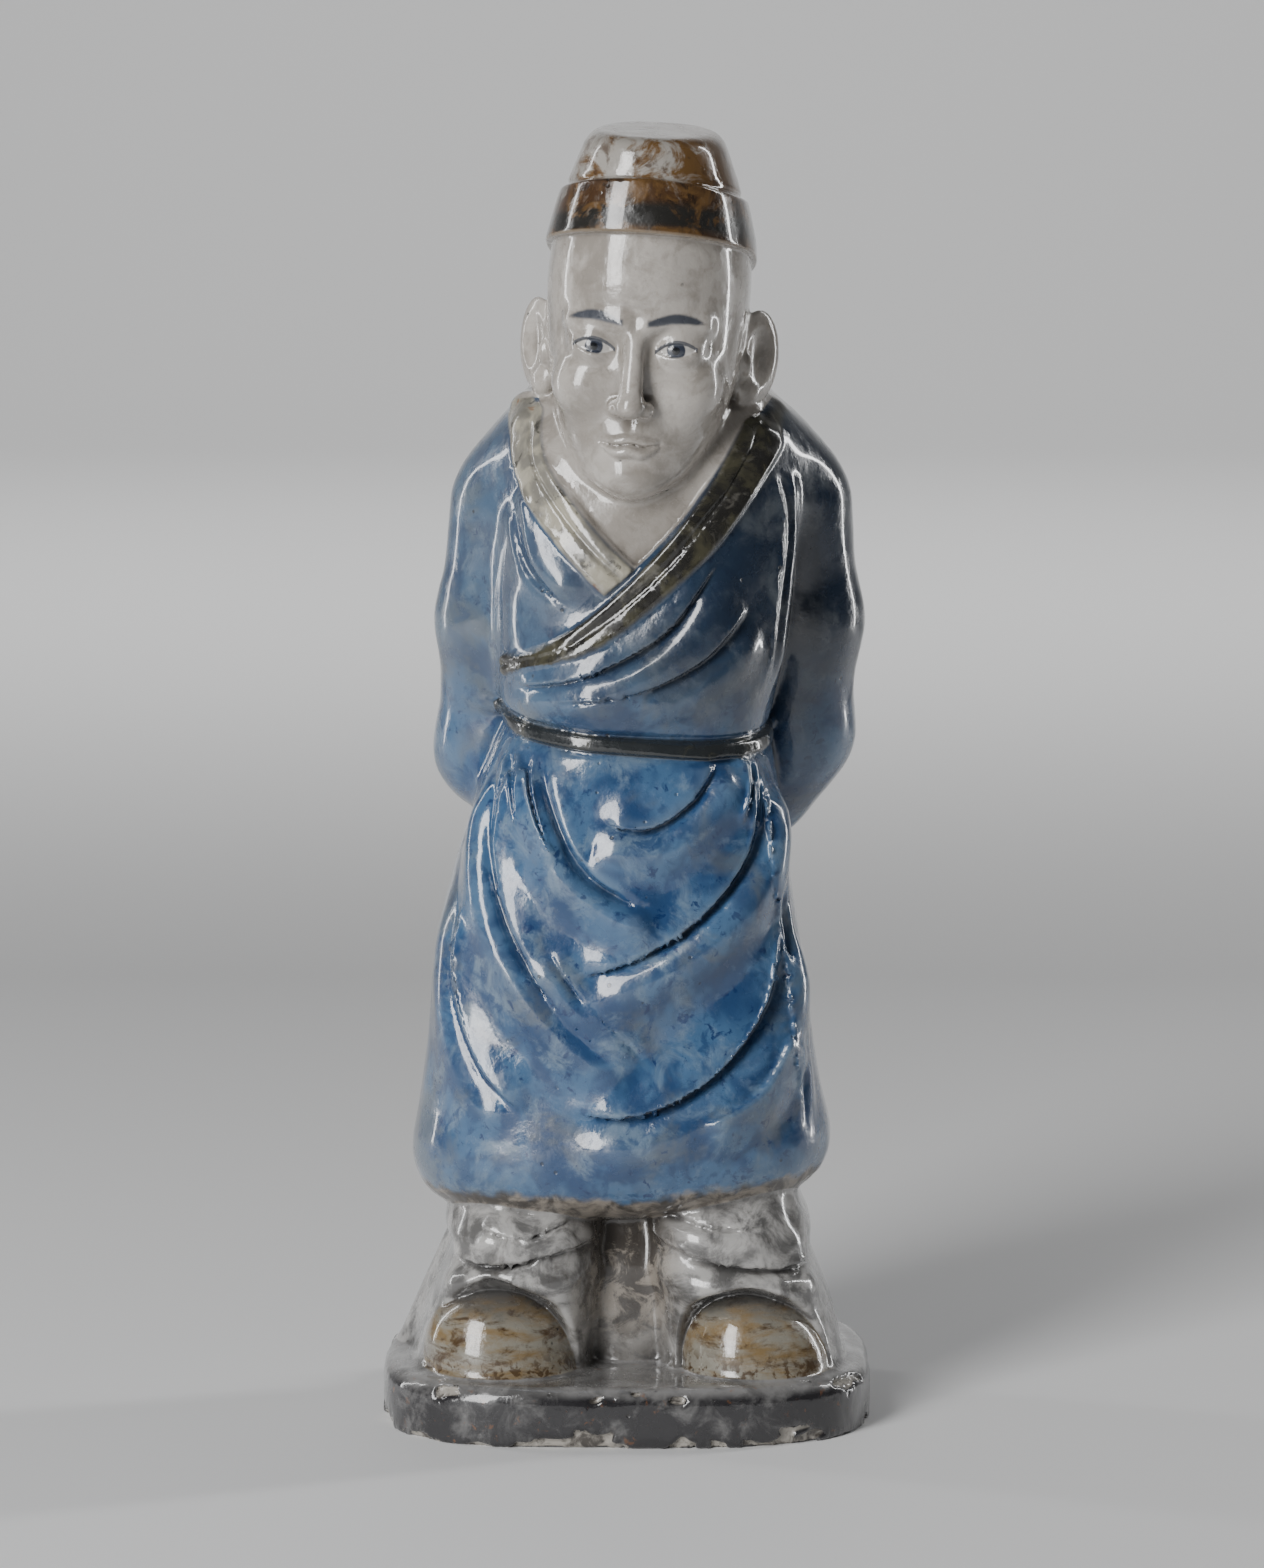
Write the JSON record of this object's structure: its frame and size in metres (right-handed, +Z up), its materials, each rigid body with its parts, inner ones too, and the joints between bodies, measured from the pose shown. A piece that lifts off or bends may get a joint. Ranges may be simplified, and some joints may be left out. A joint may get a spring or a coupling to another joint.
{
  "type": "glazed ceramic figure",
  "caption": "Standing robed attendant in a low cap, hands clasped behind the back, moulded in glazed stoneware in one piece with a low plinth.",
  "frame": {"origin": "centre of the plinth's flat underside, on the surface that the figure stands on", "axes": "+Z up through the cap, -Y the way the figure faces, +X the figure's left hand"},
  "size_m": [0.0916, 0.072, 0.241],
  "materials": {
    "glaze": "glossy cobalt-blue glaze on the robe, pale grey on the face and trousers, amber-brown on cap and shoes"
  },
  "bodies": {
    "root": {"figure": "glaze"}
  },
  "joints": []
}
